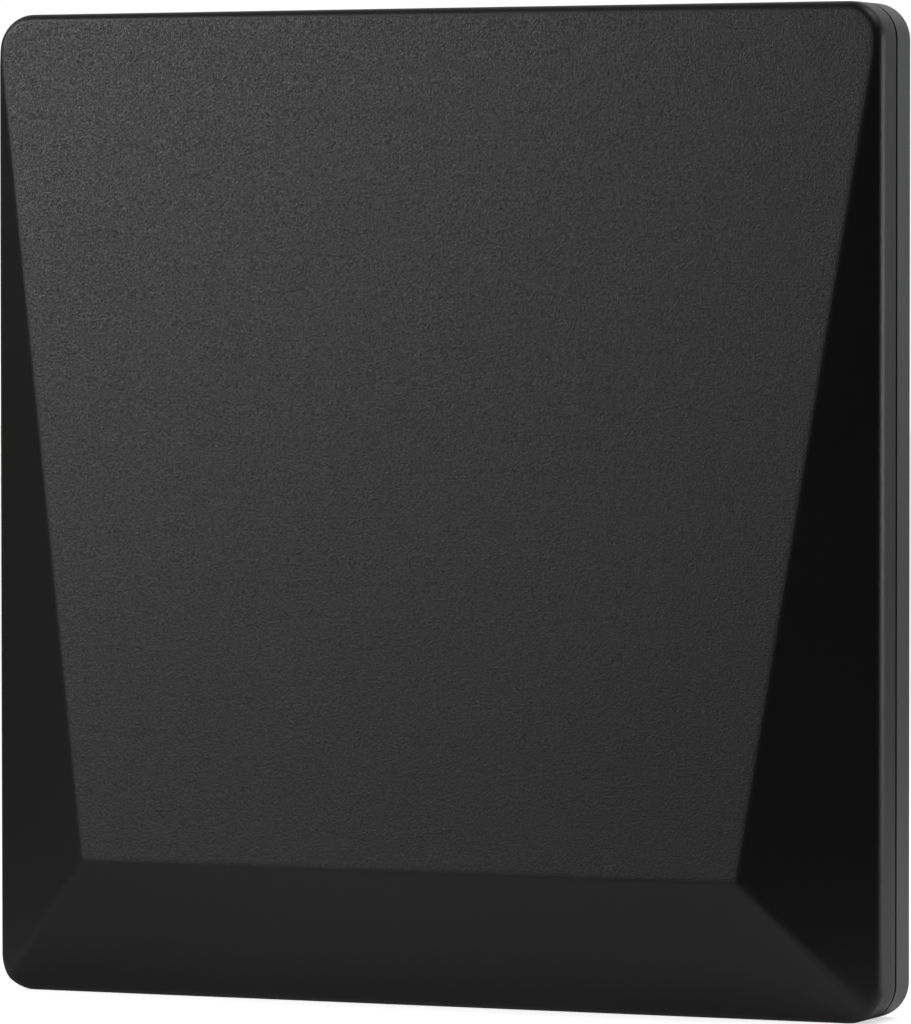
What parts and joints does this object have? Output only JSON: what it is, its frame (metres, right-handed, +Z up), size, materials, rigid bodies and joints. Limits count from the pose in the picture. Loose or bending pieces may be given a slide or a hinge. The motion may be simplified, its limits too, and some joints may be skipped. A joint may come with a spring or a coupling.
{
  "type": "indoor tv antenna",
  "caption": "Flat, nearly square panel antenna for indoor TV reception, with a tilted front face, two moulded covers, stamped radiators, a shielded amplifier and a recessed coaxial socket.",
  "frame": {"origin": "middle of the outer box, on the surface that the antenna stands on", "axes": "+X to the right of someone facing the front, +Y from the front to the back, +Z up"},
  "size_m": [0.212, 0.0328, 0.22],
  "materials": {
    "case_black": "moulded ABS: fine spark grain on the face, plain satin elsewhere",
    "screw_steel": "black oxide",
    "zinc_steel": "zinc plated",
    "radiator_aluminium": "rolled sheet, stamped edge",
    "board_laminate": "solder resist over glass-fibre laminate",
    "tin_plate": "tinned sheet",
    "chip_black": "moulded epoxy",
    "chip_ceramic": "fired ceramic with tinned ends",
    "ferrite": "sintered ferrite",
    "copper_wire": "enamelled copper",
    "nickel_plate": "nickel-plated brass",
    "insulator_white": "turned polyethylene",
    "contact_brass": "gilded brass"
  },
  "bodies": {
    "root": {"front_cover": "case_black", "rear_cover": "case_black", "cover_screws": "screw_steel", "left_radiator": "radiator_aluminium", "right_radiator": "radiator_aluminium", "radiator_screws": "zinc_steel", "feed_screws": "zinc_steel", "feed_nuts": "zinc_steel", "amplifier_board": "board_laminate", "board_screws": "zinc_steel", "shield_frame": "tin_plate", "shield_lid": "tin_plate", "amplifier_chip": "chip_black", "chip_capacitors": "chip_ceramic", "chip_inductors": "ferrite", "balun_core": "ferrite", "balun_windings": "copper_wire", "socket_body": "nickel_plate", "socket_insulator": "insulator_white", "socket_contact": "contact_brass", "socket_washer": "zinc_steel", "socket_nut": "nickel_plate"}
  },
  "joints": []
}
